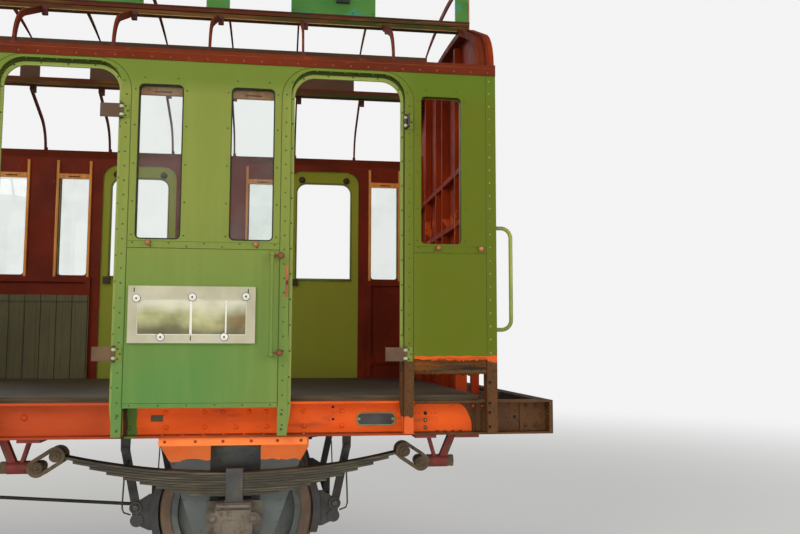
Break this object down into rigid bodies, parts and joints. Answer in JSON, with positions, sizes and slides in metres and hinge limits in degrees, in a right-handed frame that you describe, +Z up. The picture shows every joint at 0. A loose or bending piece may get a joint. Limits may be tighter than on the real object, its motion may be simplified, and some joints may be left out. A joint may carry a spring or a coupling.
{
  "type": "two-axle railway passenger coach with side doors and clerestory roof frame",
  "caption": "Old two-axle railway passenger coach under repair, green steel sides, bare roof bows and clerestory, orange primed solebars.",
  "frame": {"origin": "on the ground midway between the axles, under the middle of the coach, at the tips of the wheel flanges", "axes": "+X along the coach, +Y towards the side with its doors fitted, +Z up"},
  "size_m": [9.12, 2.9838, 4.1847],
  "materials": {
    "body_green": "satin",
    "oxide_red": "matte",
    "primer_orange": "satin",
    "rusty_steel": "rusty",
    "bracket_red": "matte",
    "box_grey": "worn",
    "tyre_steel": "rusty",
    "wheel_grey": "worn",
    "timber": "weathered",
    "board_olive": "weathered",
    "vent_black": "matte",
    "window_glass": "clear",
    "hinge_brown": "worn",
    "rail_yellow": "satin",
    "notice_white": "satin",
    "notice_glass": "gloss"
  },
  "bodies": {
    "root": {"axle_boxes": "box_grey", "axle_guards": "primer_orange", "brake_hangers": "rusty_steel", "brake_rods": "rusty_steel", "brake_shaft": "rusty_steel", "brake_shoes": "rusty_steel", "cant_rails": "oxide_red", "centre_sills": "rusty_steel", "clerestory_beams": "timber", "clerestory_bows": "oxide_red", "clerestory_panels": "body_green", "clerestory_rails": "body_green", "clerestory_vents": "vent_black", "cross_bearers": "rusty_steel", "end_handrails": "rail_yellow", "end_hoops": "oxide_red", "end_walls": "oxide_red", "far_corner_panels": "body_green", "far_door_frames": "body_green", "far_door_hinges": "hinge_brown", "far_wall_panels": "body_green", "far_windows": "window_glass", "floor": "timber", "headstocks": "rusty_steel", "leaf_springs": "rusty_steel", "name_plate": "rusty_steel", "near_corner_panels": "body_green", "near_door_frames": "body_green", "near_hinge_leaves": "hinge_brown", "near_wall_panels": "body_green", "near_windows": "window_glass", "notice_frame": "notice_white", "notice_pane": "notice_glass", "roof_bows": "oxide_red", "side_handrails": "body_green", "solebar_plates": "primer_orange", "solebars": "primer_orange", "spring_brackets": "bracket_red", "spring_buckles": "rusty_steel", "spring_links": "rusty_steel", "wainscot": "board_olive", "window_battens": "timber"},
    "wheelset_front": {"axle_front": "rusty_steel", "tyres_front": "tyre_steel", "wheel_centres_front": "wheel_grey"},
    "wheelset_rear": {"axle_rear": "rusty_steel", "tyres_rear": "tyre_steel", "wheel_centres_rear": "wheel_grey"},
    "door_1": {"far_door_1": "body_green"},
    "door_2": {"far_door_2": "body_green"},
    "door_3": {"far_door_3": "body_green"},
    "door_4": {"far_door_4": "body_green"},
    "door_5": {"far_door_5": "body_green"}
  },
  "joints": [
    {"name": "wheelset_front_turn", "type": "hinge", "parent": "root", "child": "wheelset_front", "pos_m": [2.66, 0, 0.5], "axis": [0, 1, 0], "continuous": true},
    {"name": "wheelset_rear_turn", "type": "hinge", "parent": "root", "child": "wheelset_rear", "pos_m": [-2.66, 0, 0.5], "axis": [0, 1, 0], "continuous": true},
    {"name": "door_1_open", "type": "hinge", "parent": "root", "child": "door_1", "pos_m": [-2.96, 1.434, 0], "axis": [0, 0, -1], "range_deg": [0, 110]},
    {"name": "door_2_open", "type": "hinge", "parent": "root", "child": "door_2", "pos_m": [-1.31, 1.434, 0], "axis": [0, 0, -1], "range_deg": [0, 110]},
    {"name": "door_3_open", "type": "hinge", "parent": "root", "child": "door_3", "pos_m": [0.34, 1.434, 0], "axis": [0, 0, -1], "range_deg": [0, 110]},
    {"name": "door_4_open", "type": "hinge", "parent": "root", "child": "door_4", "pos_m": [1.99, 1.434, 0], "axis": [0, 0, -1], "range_deg": [0, 110]},
    {"name": "door_5_open", "type": "hinge", "parent": "root", "child": "door_5", "pos_m": [3.64, 1.434, 0], "axis": [0, 0, -1], "range_deg": [0, 110]}
  ]
}
